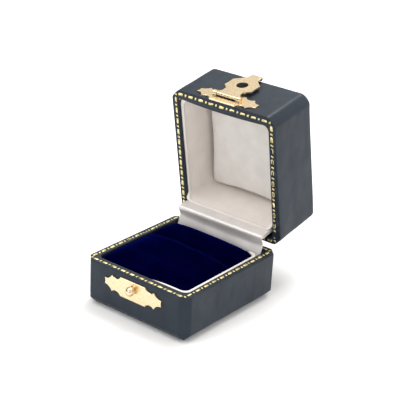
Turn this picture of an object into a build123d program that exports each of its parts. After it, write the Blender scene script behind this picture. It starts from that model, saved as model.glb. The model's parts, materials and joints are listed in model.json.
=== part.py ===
from build123d import *
from dataclasses import dataclass
from math import cos, radians, sin
import os

# A hinged ring box. All sizes are in millimetres.
# Frame: origin at the centre of the base's underside, +X to the right, +Y to the rear, +Z up.
# The lid is modelled standing open, resting on its stop.
#
# The base and the lid are both trays. A tray is drawn in its own frame: the rim plane is z = 0,
# the tray's body lies below it, the outer rear face is y = 0 and the outer front face is
# y = -depth. The base is lowered into place, and the lid is turned upside down and swung open.

# ---- driving dimensions ----
skin = 0.6                # leatherette thickness
turn_in = 1.8             # how far the leatherette is turned down inside the rim
turn_under = 1.2          # width of the leatherette turned under the base
corner_cut = 3.2          # flat on each upright corner
bevel = 3.0               # slope around the base's foot and the lid's top
floor_board = 2.4         # thickness of the wooden floor of each tray
opening_radius = 2.5      # corner radius of the opening in the rim
lining_board = 2.3        # padded lining board, front and sides
rear_lining_board = 1.0   # lining board in front of the hinge
pad_radius = 1.5          # corner radius inside the lining
pad_gap = 0.1             # between the lining and a pad

open_angle = 79.5         # lid opening at its stop
rim_gap = 0.2             # gap between the two rims when closed
pivot_behind = 1.3        # hinge pin behind the base's rear face
pivot_below = 0.5         # hinge pin below the base's rim

leaf = 0.4                # hinge sheet
hinge_width = 30.0
knuckle_count = 5
knuckle_radius = 1.15
pin_radius = 0.5
press_clearance = 0.01    # between a fixed pin and its hole
turning_clearance = 0.06  # between a pin and the part that turns on it

plate = 0.6               # brass sheet of the clasp
plate_half_width = 13.9
plate_half_height = 3.95
clasp_axis_above_face = 1.25
clasp_axis_from_rim = 4.2
clasp_barrel_radius = 0.95
clasp_curl_radius = 1.2   # the plate's curls, either side of the tongue's barrel
clasp_pin_radius = 0.4
tongue_half_barrel = 4.5
tongue_reach = 9.4        # clasp pin to the centre of the tongue's hole
tongue_radius = 7.1
tongue_rise = 0.3         # the open tongue's blade stands further out than the clasp pin
tongue_hole_radius = 2.35
ball_radius = 1.8

skirt_drop = 5.6          # how far the hinge skirt stands beyond the lid's rim
skirt_half_width = 21.0
satin = 0.25


@dataclass
class Tray:
    width: float
    depth: float
    height: float
    side_band: float      # rim width at the sides
    front_band: float     # rim width at the front
    rear_band: float      # rim width at the rear
    hinge_recess: float   # outer rear face to the far side of the hinge's space
    recess_depth: float   # rim to the bottom of the hinge's space


base = Tray(50.0, 56.0, 19.0, 3.3, 4.1, 3.0, 7.0, 10.0)
lid = Tray(49.4, 56.6, 26.0, 3.0, 4.1, 3.0, 6.3, 9.0)

pivot_y = base.depth / 2 + pivot_behind
pivot_z = base.height - pivot_below


# ---- placing the trays ----
def on_base(piece):
    return Pos(0, base.depth / 2, base.height) * piece


def on_lid(piece):
    """Turn a piece over, set it on the closed rim and swing it open about the hinge pin."""
    closed = Pos(0, base.depth / 2, base.height + rim_gap) * Rot(0, 180, 0) * piece
    about_pin = Pos(0, -pivot_y, -pivot_z) * closed
    return Pos(0, pivot_y, pivot_z) * Rot(-open_angle, 0, 0) * about_pin


def swung_open(y, z):
    """Where a point of the lid's tray frame is, in the base's tray frame, with the lid open."""
    back = y - pivot_behind
    up = rim_gap - z + pivot_below
    turn = radians(open_angle)
    open_y = back * cos(turn) + up * sin(turn)
    open_z = up * cos(turn) - back * sin(turn)
    return pivot_behind + open_y, open_z - pivot_below


def save(name, shape):
    export_step(shape, f"parts/{name}.step")


def joined(solids):
    """Several separate solids in one node, such as a set of rivets."""
    return Compound(children=list(solids))


# ---- shapes shared by both trays ----
def block(x0, x1, y0, y1, z0, z1):
    size = Box(x1 - x0, y1 - y0, z1 - z0)
    return Pos((x0 + x1) / 2, (y0 + y1) / 2, (z0 + z1) / 2) * size


def rounded_block(half_width, y0, y1, z0, z1, radius):
    outline = RectangleRounded(2 * half_width, y1 - y0, radius)
    return Pos(0, (y0 + y1) / 2, z0) * extrude(outline, z1 - z0)


def rod_x(x0, x1, y, z, radius):
    return Pos((x0 + x1) / 2, y, z) * Rot(0, 90, 0) * Cylinder(radius, x1 - x0)


def rod_y(x, y0, y1, z, radius):
    return Pos(x, (y0 + y1) / 2, z) * Rot(90, 0, 0) * Cylinder(radius, y1 - y0)


def tray_outside(tray, inset, top):
    """The tray's outer shape, moved in by inset, from its bottom up to z = top."""
    plain = Rectangle(tray.width - 2 * inset, tray.depth - 2 * inset)
    bottom = -tray.height + inset
    sloped = extrude(plain, top - bottom)
    sloped = chamfer(sloped.faces().sort_by(Axis.Z)[0].edges(), bevel)
    cut = extrude(chamfer(plain.vertices(), corner_cut), top - bottom)
    return Pos(0, -tray.depth / 2, bottom) * (sloped & cut)


def rim_opening(tray, grow, z0, z1):
    """The opening inside the rim, grown outwards, between two heights."""
    half = tray.width / 2 - tray.side_band + grow
    front = -tray.depth + tray.front_band - grow
    rear = -tray.rear_band + grow
    return rounded_block(half, front, rear, z0, z1, opening_radius + grow)


def tray_floor(tray):
    return -tray.height + skin + floor_board


def carcass(tray):
    """The wooden tray, with a space for the hinge behind a deeper rear wall."""
    solid = tray_outside(tray, skin, -skin)
    half = tray.width / 2 - tray.side_band + skin
    front = -tray.depth + tray.front_band - skin
    radius = opening_radius + skin
    main = rounded_block(half, front, -tray.hinge_recess, tray_floor(tray), 0, radius)
    hinge_space = rim_opening(tray, skin, -tray.recess_depth, 0)
    return solid - main - hinge_space


def cover(tray):
    """The leatherette: outside, over the rim and turned down inside, cut away at the hinge."""
    outside = tray_outside(tray, 0, 0) - tray_outside(tray, skin, -skin)
    turned = rim_opening(tray, skin, -turn_in, 0)
    through = rim_opening(tray, 0, -tray.height / 2, 1)
    half = hinge_width / 2 + 0.2
    hinge_notch = block(-half, half, -tray.rear_band - 0.1, 0, -skin, 1)
    turned_notch = block(-half, half, -tray.rear_band - 0.1, -tray.rear_band + skin, -turn_in, 1)
    return outside + turned - through - hinge_notch - turned_notch


base_lining_rear_top = -4.6   # the base's rear lining wall stays below the skirt's path


def lining(tray, rear_top):
    """A ring of lining board under the turned-in leatherette; its rear wall may be lower."""
    half = tray.width / 2 - tray.side_band + skin
    front = -tray.depth + tray.front_band - skin
    low = tray_floor(tray)
    rear = -tray.hinge_recess
    ring = rounded_block(half, front, rear, low, -turn_in, opening_radius + skin)
    inside_front = front + lining_board
    inside_rear = rear - rear_lining_board
    ring -= rounded_block(half - lining_board, inside_front, inside_rear, low - 1, 1, pad_radius)
    corner = half - lining_board
    return ring - block(-corner, corner, inside_rear - 0.01, rear + 1, rear_top, 1)


# ---- base ----
def base_cover():
    """The base's leatherette leaves a window for the foot sheet under the floor."""
    return cover(base) - foot_window(0)


def foot_window(gap):
    margin = bevel + turn_under + gap
    half = base.width / 2 - margin
    return rounded_block(half, margin - base.depth, -margin, -base.height, -base.height + skin, 1.5)


def foot_sheet():
    return foot_window(0.05)


def pad_space(tray, inset, z0, z1):
    """The space inside a tray's lining, less the pad's gap and an inset."""
    less = pad_gap + inset
    half = tray.width / 2 - tray.side_band + skin - lining_board - less
    front = -tray.depth + tray.front_band - skin + lining_board + less
    rear = -tray.hinge_recess - rear_lining_board - less
    return rounded_block(half, front, rear, z0, z1, pad_radius - inset)


def arched(y0, y1, low, edge, crown):
    """A long block across the tray, arched on top from front to rear."""
    sides = Polyline((y0, edge), (y0, low), (y1, low), (y1, edge))
    top = ThreePointArc((y1, edge), ((y0 + y1) / 2, crown), (y0, edge))
    return extrude(Plane.YZ * make_face(sides + top), base.width, both=True)


# ---- ring pad ----
slot_width = 0.8
slot_from_rear = 22.6
pad_card_thickness = 1.0
velvet = 0.6
roll_edge = -1.9          # top of the rolls at their edges, below the rim
roll_crown = 0.7


def pad_card():
    low = tray_floor(base)
    return pad_space(base, 0, low, low + pad_card_thickness)


def roll(which, inset):
    """One padded roll with an arched top, open to the card below."""
    low = tray_floor(base) + pad_card_thickness
    slot_front = -slot_from_rear - slot_width / 2
    slot_rear = -slot_from_rear + slot_width / 2
    space = pad_space(base, inset, low, 0)
    limits = space.bounding_box()
    if which == "front":
        y0, y1 = limits.min.Y, slot_front - inset
    else:
        y0, y1 = slot_rear + inset, limits.max.Y
    return space & arched(y0, y1, low, roll_edge - inset, roll_crown - inset)


def roll_foam(which):
    return roll(which, velvet)


def roll_velvet(which):
    return roll(which, 0) - roll_foam(which)


# ---- hinge ----
knuckle_gap = 0.1
flange_drop = 8.0         # how far the leaf goes down inside the rear wall
rivet_places = (-11.0, -4.0, 4.0, 11.0)
rivet_below_rim = 5.0
rivet_radius = 0.8
rivet_depth = 1.2         # into the wooden wall
rivet_head_radius = 1.3
rivet_head = 0.4
pin_end = 0.3             # how far the hinge pin stands out of the end knuckles


def knuckle_spans(first):
    """X spans of every second knuckle, starting with knuckle number first."""
    length = hinge_width / knuckle_count
    for number in range(first, knuckle_count, 2):
        x0 = -hinge_width / 2 + number * length
        yield x0 + knuckle_gap / 2, x0 + length - knuckle_gap / 2


def hinge_leaf(tray, axis_y, axis_z, first, hole_radius):
    """A bent leaf: knuckles, a web over the rim and a flange down inside the rear wall."""
    half = hinge_width / 2
    inner = -tray.rear_band + skin
    web_top = -skin + leaf
    body = block(-half, half, inner - leaf, -0.02, -skin, web_top)
    body += block(-half, half, inner - leaf, inner, -flange_drop, web_top)
    for x0, x1 in knuckle_spans(first):
        body += block(x0, x1, -0.1, axis_y, -skin, web_top)
        body += rod_x(x0, x1, axis_y, axis_z, knuckle_radius)
    body -= rod_x(-half, half, axis_y, axis_z, hole_radius)
    for x in rivet_places:
        body -= rod_y(x, inner - 2 * leaf, inner + leaf, -rivet_below_rim, rivet_radius)
    return body


def rivet_shanks(tray, start):
    """The four rivets' shanks, from start behind the leaf's face into the rear wall."""
    inner = -tray.rear_band + skin
    reach = inner + rivet_depth
    return [rod_y(x, inner - start, reach, -rivet_below_rim, rivet_radius) for x in rivet_places]


def hinge_rivets(tray):
    """Four rivets through the flange into the rear wall, with low heads inside."""
    face = -tray.rear_band + skin - leaf
    rivets = []
    for x, shank in zip(rivet_places, rivet_shanks(tray, leaf)):
        head = rod_y(x, face - rivet_head, face, -rivet_below_rim, rivet_head_radius)
        rivets.append(shank + head)
    return joined(rivets)


def base_hinge_leaf():
    radius = pin_radius + press_clearance
    return hinge_leaf(base, pivot_behind, -pivot_below, 0, radius)


def lid_hinge_leaf():
    radius = pin_radius + turning_clearance
    return hinge_leaf(lid, pivot_behind, pivot_below + rim_gap, 1, radius)


def hinge_pin():
    half = hinge_width / 2 + pin_end
    return rod_x(-half, half, pivot_behind, -pivot_below, pin_radius)


skirt_root = -7.5         # the skirt's inner end, below the lid's rim
skirt_rear = -4.9
skirt_front = -5.9
ribbon = 0.3              # thickness of the satin ribbon over the hinge
ribbon_gap = 0.1
ribbon_sag = 0.5


def skirt_board():
    """A stiff flap inside the lid's rear wall; it stands out past the rim."""
    half = skirt_half_width - satin
    return block(-half, half, skirt_front + satin, skirt_rear - satin, skirt_root, skirt_drop - satin)


def skirt_satin():
    half = skirt_half_width
    wrap = block(-half, half, skirt_front, skirt_rear, skirt_root, skirt_drop)
    return wrap - skirt_board()


def hinge_ribbon():
    """The satin that hangs from the skirt's end down into the base, slightly hollow."""
    top_y, top_z = swung_open(skirt_rear - ribbon - ribbon_gap, skirt_drop)
    top_z -= ribbon + 2 * ribbon_gap
    low_y = -base.hinge_recess + ribbon + ribbon_gap
    low_z = -base.recess_depth
    mid_y = (top_y + low_y) / 2 + ribbon_sag
    mid_z = (top_z + low_z) / 2
    low = (low_y - ribbon, low_z)
    middle = (mid_y - ribbon, mid_z)
    high = (top_y - ribbon, top_z)
    front = ThreePointArc(low, middle, high)
    back = ThreePointArc((top_y, top_z), (mid_y, mid_z), (low_y, low_z))
    top = Line(high, (top_y, top_z))
    bottom = Line((low_y, low_z), low)
    profile = make_face(front + top + back + bottom)
    return extrude(Plane.YZ * profile, skirt_half_width, both=True)


# ---- lid cushion ----
lid_card_thickness = 0.6
cushion_edge = -16.6      # the cushion's face at its edges, below the rim
cushion_crown = -14.6
cushion_satin = 0.4


def lid_card():
    low = tray_floor(lid)
    return pad_space(lid, 0, low, low + lid_card_thickness)


def cushion(inset):
    low = tray_floor(lid) + lid_card_thickness
    space = pad_space(lid, inset, low, 0)
    limits = space.bounding_box()
    return space & arched(limits.min.Y, limits.max.Y, low, cushion_edge - inset, cushion_crown - inset)


def lid_cushion_foam():
    return cushion(cushion_satin)


def lid_cushion_satin():
    return cushion(0) - lid_cushion_foam()


# ---- clasp ----
def clasp_plate_outline():
    """The stamped plate: straight middle, scalloped notches, horns and a fishtail at each end."""
    top = plate_half_height
    end = plate_half_width
    shoulder = (6.1, top)
    horn = (10.4, top - 0.5)
    tail = (end, 1.25)
    upper = [
        (shoulder, (7.9, top - 1.3), horn),
        (horn, (12.3, 1.6), tail),
    ]
    lower = [[(x, -y) for x, y in reversed(arc)] for arc in reversed(upper)]
    fishtail = (tail, (end - 0.2, 0.0), (end, -tail[1]))
    points = upper + [fishtail] + lower
    right = [ThreePointArc(*arc) for arc in points]
    left = [ThreePointArc(*[(-x, -y) for x, y in arc]) for arc in points]
    along_bottom = Line((shoulder[0], -top), (-shoulder[0], -top))
    along_top = Line((-shoulder[0], top), shoulder)
    return make_face(right + [along_bottom] + left + [along_top])


def on_front(outline, face_y, centre_z, thickness):
    """Stand an outline on a tray's front face and thicken it outwards."""
    plane = Plane(origin=(0, face_y, centre_z), x_dir=(1, 0, 0), z_dir=(0, -1, 0))
    return extrude(plane * outline, thickness)


edge_break = 0.12


def softened(plate_solid):
    """Break the plate's outer edges."""
    outer = plate_solid.faces().sort_by(Axis.Y)[0]
    return chamfer(outer.edges(), edge_break)


keeper_below_rim = 5.7
ball_below_rim = tongue_reach - clasp_axis_from_rim - rim_gap
ball_out = 1.3            # plate's face to the ball's centre
shank_radius = 0.9
shank_depth = 2.4         # into the wooden front wall


def keeper_plate():
    solid = softened(on_front(clasp_plate_outline(), -base.depth, -keeper_below_rim, plate))
    return solid - stud_shank(-base.depth - 2 * plate)


def stud_shank(start):
    """The stud's shank, or its hole, from start into the front wall."""
    return rod_y(0, start, -base.depth + shank_depth, -ball_below_rim, shank_radius)


def ball_stud():
    face = -base.depth - plate
    reach = 2 * ball_radius
    ball = Pos(0, face - ball_out, -ball_below_rim) * Sphere(ball_radius)
    ball -= block(-reach, reach, face, face + reach, -ball_below_rim - reach, -ball_below_rim + reach)
    return ball + stud_shank(face - ball_out)


clasp_axis_y = -lid.depth - clasp_axis_above_face
knuckle_length = 1.9
clasp_gap = 0.1           # between the tongue's barrel and the plate's curls
window_gap = 0.45         # round the tongue's barrel, in the plate's window
pin_inset = 0.4           # the clasp's pin ends inside its curls


def clasp_knuckle(side):
    """A curl of the hasp plate that holds one end of the clasp's pin."""
    inner = side * (tongue_half_barrel + clasp_gap)
    outer = inner + side * knuckle_length
    x0, x1 = sorted((inner, outer))
    curl = rod_x(x0, x1, clasp_axis_y, -clasp_axis_from_rim, clasp_curl_radius)
    top = -clasp_axis_from_rim + clasp_curl_radius
    foot = block(x0, x1, clasp_axis_y, -lid.depth, -clasp_axis_from_rim, top)
    return curl + foot


def hasp_plate():
    """The lid's plate, with a window in which the tongue's barrel turns."""
    centre = -clasp_axis_from_rim - clasp_gap
    solid = softened(on_front(clasp_plate_outline(), -lid.depth, centre, plate))
    for side in (-1, 1):
        solid += clasp_knuckle(side)
    half = tongue_half_barrel + clasp_gap
    reach = clasp_barrel_radius + window_gap
    low = -clasp_axis_from_rim - reach
    high = -clasp_axis_from_rim + reach
    solid -= block(-half, half, -lid.depth - 3, -lid.depth + 1, low, high)
    outer = half + knuckle_length
    hole = clasp_pin_radius + press_clearance
    return solid - rod_x(-outer, outer, clasp_axis_y, -clasp_axis_from_rim, hole)


def hasp_pin():
    half = tongue_half_barrel + clasp_gap + knuckle_length - pin_inset
    return rod_x(-half, half, clasp_axis_y, -clasp_axis_from_rim, clasp_pin_radius)


scallops = 8
scallop_depth = 0.2
neck_width = 8.4
tab_width = 4.8
tab_reach = 2.3           # beyond the scallops
lip_radius = 0.85


def tongue_outline():
    """Shallow scallops around the hole, with a neck below and a finger tab above."""
    step = 360 / scallops
    waist = tongue_radius * cos(radians(step / 2)) - scallop_depth
    arcs = []
    for number in range(scallops):
        start = radians(step * (number + 0.5))
        middle = radians(step * (number + 1))
        end = radians(step * (number + 1.5))
        a = (tongue_radius * cos(start), tongue_radius * sin(start))
        m = (waist * cos(middle), waist * sin(middle))
        b = (tongue_radius * cos(end), tongue_radius * sin(end))
        arcs.append(ThreePointArc(a, m, b))
    disc = make_face(arcs)
    inside = tongue_radius - 2
    neck = Pos(0, -(tongue_reach + 2) / 2) * Rectangle(neck_width, tongue_reach - 2)
    tab_end = tongue_radius + tab_reach
    tab = Pos(0, (inside + tab_end) / 2) * Rectangle(tab_width, tab_end - inside)
    return disc + neck + tab - Circle(tongue_hole_radius)


def hasp_tongue():
    """The folding tongue: a barrel at its root, and a lip curled under the finger tab."""
    centre_z = -clasp_axis_from_rim - tongue_reach
    near_face = clasp_axis_y - tongue_rise + plate / 2
    plane = Plane(origin=(0, near_face, centre_z), x_dir=(-1, 0, 0), z_dir=(0, -1, 0))
    blade = extrude(plane * tongue_outline(), plate)
    root = -clasp_axis_from_rim - clasp_barrel_radius * 0.6
    blade -= block(-neck_width, neck_width, -lid.depth - 4, -lid.depth, root, 0)
    half = tongue_half_barrel
    barrel = rod_x(-half, half, clasp_axis_y, -clasp_axis_from_rim, clasp_barrel_radius)
    end_z = centre_z - tongue_radius - tab_reach
    wide = tab_width / 2
    lip_y = near_face - plate + lip_radius
    lip = rod_x(-wide, wide, lip_y, end_z, lip_radius)
    lip -= rod_x(-wide, wide, lip_y, end_z, lip_radius - plate / 2)
    lip -= block(-wide, wide, near_face, near_face + lip_radius, end_z, end_z + lip_radius)
    hole = rod_x(-half, half, clasp_axis_y, -clasp_axis_from_rim, clasp_pin_radius + turning_clearance)
    return blade + barrel + lip - hole


# ---- build ----
def base_carcass():
    solid = carcass(base)
    for hole in rivet_shanks(base, ribbon_gap):
        solid -= hole
    return solid - stud_shank(-base.depth - plate)


def lid_carcass():
    solid = carcass(lid)
    for hole in rivet_shanks(lid, ribbon_gap):
        solid -= hole
    return solid


def main():
    os.makedirs("parts", exist_ok=True)
    save("base_carcass", on_base(base_carcass()))
    save("base_cover", on_base(base_cover() - stud_shank(-base.depth - plate)))
    save("base_foot_sheet", on_base(foot_sheet()))
    save("base_lining", on_base(lining(base, base_lining_rear_top)))
    save("pad_card", on_base(pad_card()))
    for which in ("front", "rear"):
        save(f"{which}_roll_foam", on_base(roll_foam(which)))
        save(f"{which}_roll_velvet", on_base(roll_velvet(which)))
    save("keeper_plate", on_base(keeper_plate()))
    save("ball_stud", on_base(ball_stud()))
    save("base_hinge_leaf", on_base(base_hinge_leaf()))
    save("base_hinge_rivets", on_base(hinge_rivets(base)))
    save("hinge_pin", on_base(hinge_pin()))
    save("hinge_ribbon", on_base(hinge_ribbon()))
    save("lid_carcass", on_lid(lid_carcass()))
    save("lid_cover", on_lid(cover(lid)))
    save("lid_lining", on_lid(lining(lid, 0)))
    save("lid_card", on_lid(lid_card()))
    save("lid_cushion_foam", on_lid(lid_cushion_foam()))
    save("lid_cushion_satin", on_lid(lid_cushion_satin()))
    save("lid_hinge_leaf", on_lid(lid_hinge_leaf()))
    save("lid_hinge_rivets", on_lid(hinge_rivets(lid)))
    save("skirt_board", on_lid(skirt_board()))
    save("skirt_satin", on_lid(skirt_satin()))
    save("hasp_plate", on_lid(hasp_plate()))
    save("hasp_pin", on_lid(hasp_pin()))
    save("hasp_tongue", on_lid(hasp_tongue()))


main()
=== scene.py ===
import json
import math
import random
from dataclasses import dataclass

import bmesh
import bpy
from mathutils import Matrix, Vector, noise


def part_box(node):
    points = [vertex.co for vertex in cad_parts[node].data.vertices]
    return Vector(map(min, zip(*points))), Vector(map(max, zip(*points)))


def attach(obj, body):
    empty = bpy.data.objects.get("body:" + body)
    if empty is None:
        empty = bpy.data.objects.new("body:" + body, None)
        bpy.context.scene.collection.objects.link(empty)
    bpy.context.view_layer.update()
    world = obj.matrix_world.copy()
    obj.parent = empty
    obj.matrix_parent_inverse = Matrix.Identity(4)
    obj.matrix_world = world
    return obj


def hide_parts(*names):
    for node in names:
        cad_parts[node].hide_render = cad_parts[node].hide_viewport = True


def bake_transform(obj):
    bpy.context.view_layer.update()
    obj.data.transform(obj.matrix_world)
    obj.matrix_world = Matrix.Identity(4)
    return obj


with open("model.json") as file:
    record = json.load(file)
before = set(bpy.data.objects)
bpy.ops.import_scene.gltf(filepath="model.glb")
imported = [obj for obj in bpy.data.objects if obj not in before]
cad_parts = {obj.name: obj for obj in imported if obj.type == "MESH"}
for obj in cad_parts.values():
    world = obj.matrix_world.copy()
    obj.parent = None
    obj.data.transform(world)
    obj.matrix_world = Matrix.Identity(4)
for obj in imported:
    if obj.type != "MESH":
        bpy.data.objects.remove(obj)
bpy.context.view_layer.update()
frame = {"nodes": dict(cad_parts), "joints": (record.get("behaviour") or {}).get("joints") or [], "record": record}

# The looks of a hinged ring box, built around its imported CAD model.
# The base and the lid are both trays. As in the CAD, a tray has its own frame in millimetres:
# the rim plane is z = 0, the body lies below it, the outer rear face is y = 0 and the outer
# front face is y = -depth. Matrices place the trays in the row frame, in metres.

MM = 0.001
joints = {joint["name"]: joint for joint in frame["joints"]}

# ---- driving sizes, in millimetres ----
RIM_GAP = 0.2             # between the two rims when the box is closed
SKIN = 0.55               # leatherette thickness
CORNER_CUT = 3.2          # flat on each upright corner
BEVEL = 3.0               # slope around the base's foot and the lid's top
TURN_UNDER = 1.2          # leatherette turned under the base
OPENING_RADIUS = 2.5      # corners of the openings
TIGHT_RADIUS = 1.2        # the lid's one tighter corner
MIDDLE_Y = -28.0          # about half way back in both trays
HINGE_HALF = 15.2         # half the width of the notch for the hinge
TOOLING_INSET = 1.42      # outer edge to the middle of the gold tooling
SKIRT_HALF = 21.0         # half the width of the satin over the hinge

# ---- camera: angles in degrees, the rest in millimetres ----
CAMERA_AZIMUTH = 37.209
CAMERA_ELEVATION = 24.096
CAMERA_ROLL = 3.131
CAMERA_DISTANCE = 450.62
CAMERA_TARGET = (2.85, 11.16, 35.67)
CAMERA_LENS = 101.0

# ---- light ----
BRIGHT_SIDE = (0.6, 0.7, 0.25)           # where the surround is brightest
SURROUND_BRIGHT = 1.5
SURROUND_DIM = 0.12
DIM_FROM = -0.7                          # dimmest here, from 1 at the bright side to -1 opposite
SURROUND_COLOUR = (1.0, 0.985, 0.96, 1)
FLOOR_GLOW = 0.02                        # the floor is lit from below too, as on a light table
FLOOR_HALF = 3.0                         # metres
LIT_POINT = (0, 0, 0.03)                 # what the softboxes are aimed at, in metres
SOFTBOXES = {                            # azimuth, elevation, distance and size in metres, watts
    "key": (-172, 64, 0.9, 0.45, 4.5),
    "overhead": (-45, 54, 0.9, 0.7, 3.8),
    "fill": (-2, 26, 1.1, 0.7, 3.2),
}

# ---- mesh density ----
CORNER_STEPS = 9          # points round each corner of a tray's outline
SIDE_STEPS = 60           # points along each side
RIM_STEPS = 16            # rows of points across each rim


# ---- placing the trays ----
def base_place():
    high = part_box("base_cover")[1]
    return Matrix.Translation((0, high.y, high.z))


def lid_place():
    """The lid upside down on the closed rim, swung open about the hinge pin."""
    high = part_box("base_cover")[1]
    hinge = joints["lid_hinge"]
    pivot = Vector(hinge["pos_m"])
    swing = Matrix.Rotation(-math.radians(hinge["range_deg"][1]), 4, "X")
    upside_down = Matrix.Rotation(math.pi, 4, "Y")
    closed = Matrix.Translation((0, high.y, high.z + RIM_GAP * MM)) @ upside_down
    return Matrix.Translation(pivot) @ swing @ Matrix.Translation(-pivot) @ closed


class Tray:
    """A tray's outer size comes from its packed cover.

    The bands are the rim's widths. The leatherette is turned down inside the rim by turn_in.
    Soft rounds the edges of the upright corner cuts, and slope_fade is how quickly those cuts
    die out on the slope beyond the bevel line.
    """

    def __init__(self, body, side_band, front_band, rear_band, turn_in, soft, slope_fade):
        self.body = body
        self.side_band = side_band
        self.front_band = front_band
        self.rear_band = rear_band
        self.turn_in = turn_in
        self.soft = soft
        self.slope_fade = slope_fade
        place = base_place() if body == "base" else lid_place()
        self.place = place
        back = place.inverted()
        cover = frame["nodes"][body + "_cover"].data
        corners = [back @ vertex.co / MM for vertex in cover.vertices]
        self.half = max(point.x for point in corners)
        self.depth = -min(point.y for point in corners)
        self.height = -min(point.z for point in corners)
        self.opening_half = self.half - side_band
        self.opening_front = front_band - self.depth


base = Tray("base", 3.3, 4.1, 3.0, turn_in=3.2, soft=0.4, slope_fade=1.6)
lid = Tray("lid", 3.0, 4.1, 3.0, turn_in=1.8, soft=1.0, slope_fade=0.85)


# ---- small helpers ----
def smooth(low, high, value):
    """0 at low, 1 at high, with a soft start and end. Low may be above high."""
    share = min(1.0, max(0.0, (value - low) / (high - low)))
    return share * share * (3 - 2 * share)


def mix(a, b, share):
    return a + (b - a) * share


def made(name, points, faces, material, body=None):
    """A smooth-shaded mesh object from points in metres, riding on a body."""
    mesh = bpy.data.meshes.new(name)
    mesh.from_pydata([tuple(point) for point in points], [], faces)
    solid = bmesh.new()
    solid.from_mesh(mesh)
    bmesh.ops.recalc_face_normals(solid, faces=solid.faces)
    solid.to_mesh(mesh)
    solid.free()
    for face in mesh.polygons:
        face.use_smooth = True
    mesh.materials.append(material)
    piece = bpy.data.objects.new(name, mesh)
    bpy.context.scene.collection.objects.link(piece)
    if body:
        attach(piece, body)
    return piece


def in_row(place, points):
    return [place @ (Vector(point) * MM) for point in points]


def loop_faces(loops, ring):
    """Quads between closed loops of equally many points; a ring joins the last to the first."""
    count = len(loops[0])
    faces = []
    for row in range(len(loops) if ring else len(loops) - 1):
        here = row * count
        there = (row + 1) % len(loops) * count
        for first in range(count):
            second = (first + 1) % count
            faces.append((here + first, here + second, there + second, there + first))
    if not ring:
        last = (len(loops) - 1) * count
        faces.append(tuple(range(count)))
        faces.append(tuple(last + number for number in range(count)))
    return faces


def slab_faces(rows, across):
    """Faces round a sheet of rows of points, and its other side's points in the same order."""
    count = rows * across
    faces = []
    for row in range(rows - 1):
        for column in range(across - 1):
            a = row * across + column
            square = (a, a + 1, a + 1 + across, a + across)
            faces.append(square)
            faces.append(tuple(count + corner for corner in reversed(square)))
    edge = list(range(across))
    edge += [row * across + across - 1 for row in range(1, rows)]
    edge += [(rows - 1) * across + column for column in range(across - 2, -1, -1)]
    edge += [row * across for row in range(rows - 2, 0, -1)]
    for here, there in zip(edge, edge[1:] + edge[:1]):
        faces.append((here, there, count + there, count + here))
    return faces


def soft_path(corners, longest=3.0, steps=5):
    """A flat path with rounded corners. Each corner is (a, z, reach of its rounding)."""
    path = [Vector(corners[0][:2])]
    for before, here, after in zip(corners, corners[1:], corners[2:]):
        tip = Vector(here[:2])
        start = tip + (Vector(before[:2]) - tip).normalized() * here[2]
        end = tip + (Vector(after[:2]) - tip).normalized() * here[2]
        for step in range(steps + 1):
            share = step / steps
            path.append(start.lerp(tip, share).lerp(tip.lerp(end, share), share))
    path.append(Vector(corners[-1][:2]))
    fine = [path[0]]
    for point in path[1:]:
        pieces = max(1, math.ceil((point - fine[-1]).length / longest))
        origin = fine[-1]
        fine += [origin.lerp(point, number / pieces) for number in range(1, pieces + 1)]
    return fine


# ---- outlines of a tray, each with the same number of points ----
TRAVEL = [Vector((0, -1)), Vector((1, 0)), Vector((0, 1)), Vector((-1, 0))]


def outline(x0, x1, y0, y1, corner_points):
    """Round from the rear left corner, down the left side, with corners from corner_points."""
    tips = [Vector((x0, y0)), Vector((x1, y0)), Vector((x1, y1)), Vector((x0, y1))]
    corners = []
    for number, tip in enumerate(tips):
        corners.append(corner_points(tip, TRAVEL[number], TRAVEL[(number + 1) % 4]))
    points = []
    for number, corner in enumerate(corners):
        following = corners[(number + 1) % 4][0]
        points += corner
        for step in range(1, SIDE_STEPS + 1):
            points.append(corner[-1].lerp(following, step / (SIDE_STEPS + 1)))
    return points


def cut_corner(cut, soft):
    """A corner cut off at 45 degrees, with both its edges softened."""
    def points(tip, arriving, leaving):
        start = tip - arriving * cut
        end = tip + leaving * cut
        slope = (end - start).normalized()
        reach = min(soft, cut * 0.45)
        bend = CORNER_STEPS // 2
        found = []
        for edge, one, other in ((start, arriving, slope), (end, slope, leaving)):
            first = edge - one * reach
            last = edge + other * reach
            count = bend if edge is start else CORNER_STEPS - bend
            for step in range(count):
                share = step / (count - 1)
                found.append(first.lerp(edge, share).lerp(edge.lerp(last, share), share))
        return found
    return points


def round_corner(radius):
    def points(tip, arriving, leaving):
        middle = tip + (leaving - arriving) * radius
        found = []
        for step in range(CORNER_STEPS):
            turn = math.radians(90) * step / (CORNER_STEPS - 1)
            back = leaving * radius * math.cos(turn)
            ahead = arriving * radius * math.sin(turn)
            found.append(middle - back + ahead)
        return found
    return points


def outer_loop(tray, inset, z):
    """The tray's outside moved inwards."""
    half = tray.half - inset
    on_slope = z < BEVEL - tray.height
    cut = CORNER_CUT - inset * (tray.slope_fade if on_slope else 2 - math.sqrt(2))
    flat = outline(-half, half, inset - tray.depth, -inset, cut_corner(max(0.15, cut), tray.soft))
    return [(point.x, point.y, z) for point in flat]


def bowed_front(tray, x):
    """How far the lid's front rim bows inwards; it is widest at the middle."""
    if tray is base:
        return 0.0
    ends = 1.05 if x > 0 else 0.75
    return 0.5 - ends * (abs(x) / tray.opening_half) ** 2.2


def opening_corner(tray, grow):
    """The lid's opening has one tight corner, at its front on the row's left."""
    def points(tip, arriving, leaving):
        tight = tray is lid and tip.x > 0 and tip.y < -10
        radius = TIGHT_RADIUS if tight else OPENING_RADIUS
        return round_corner(radius + grow)(tip, arriving, leaving)
    return points


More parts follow.
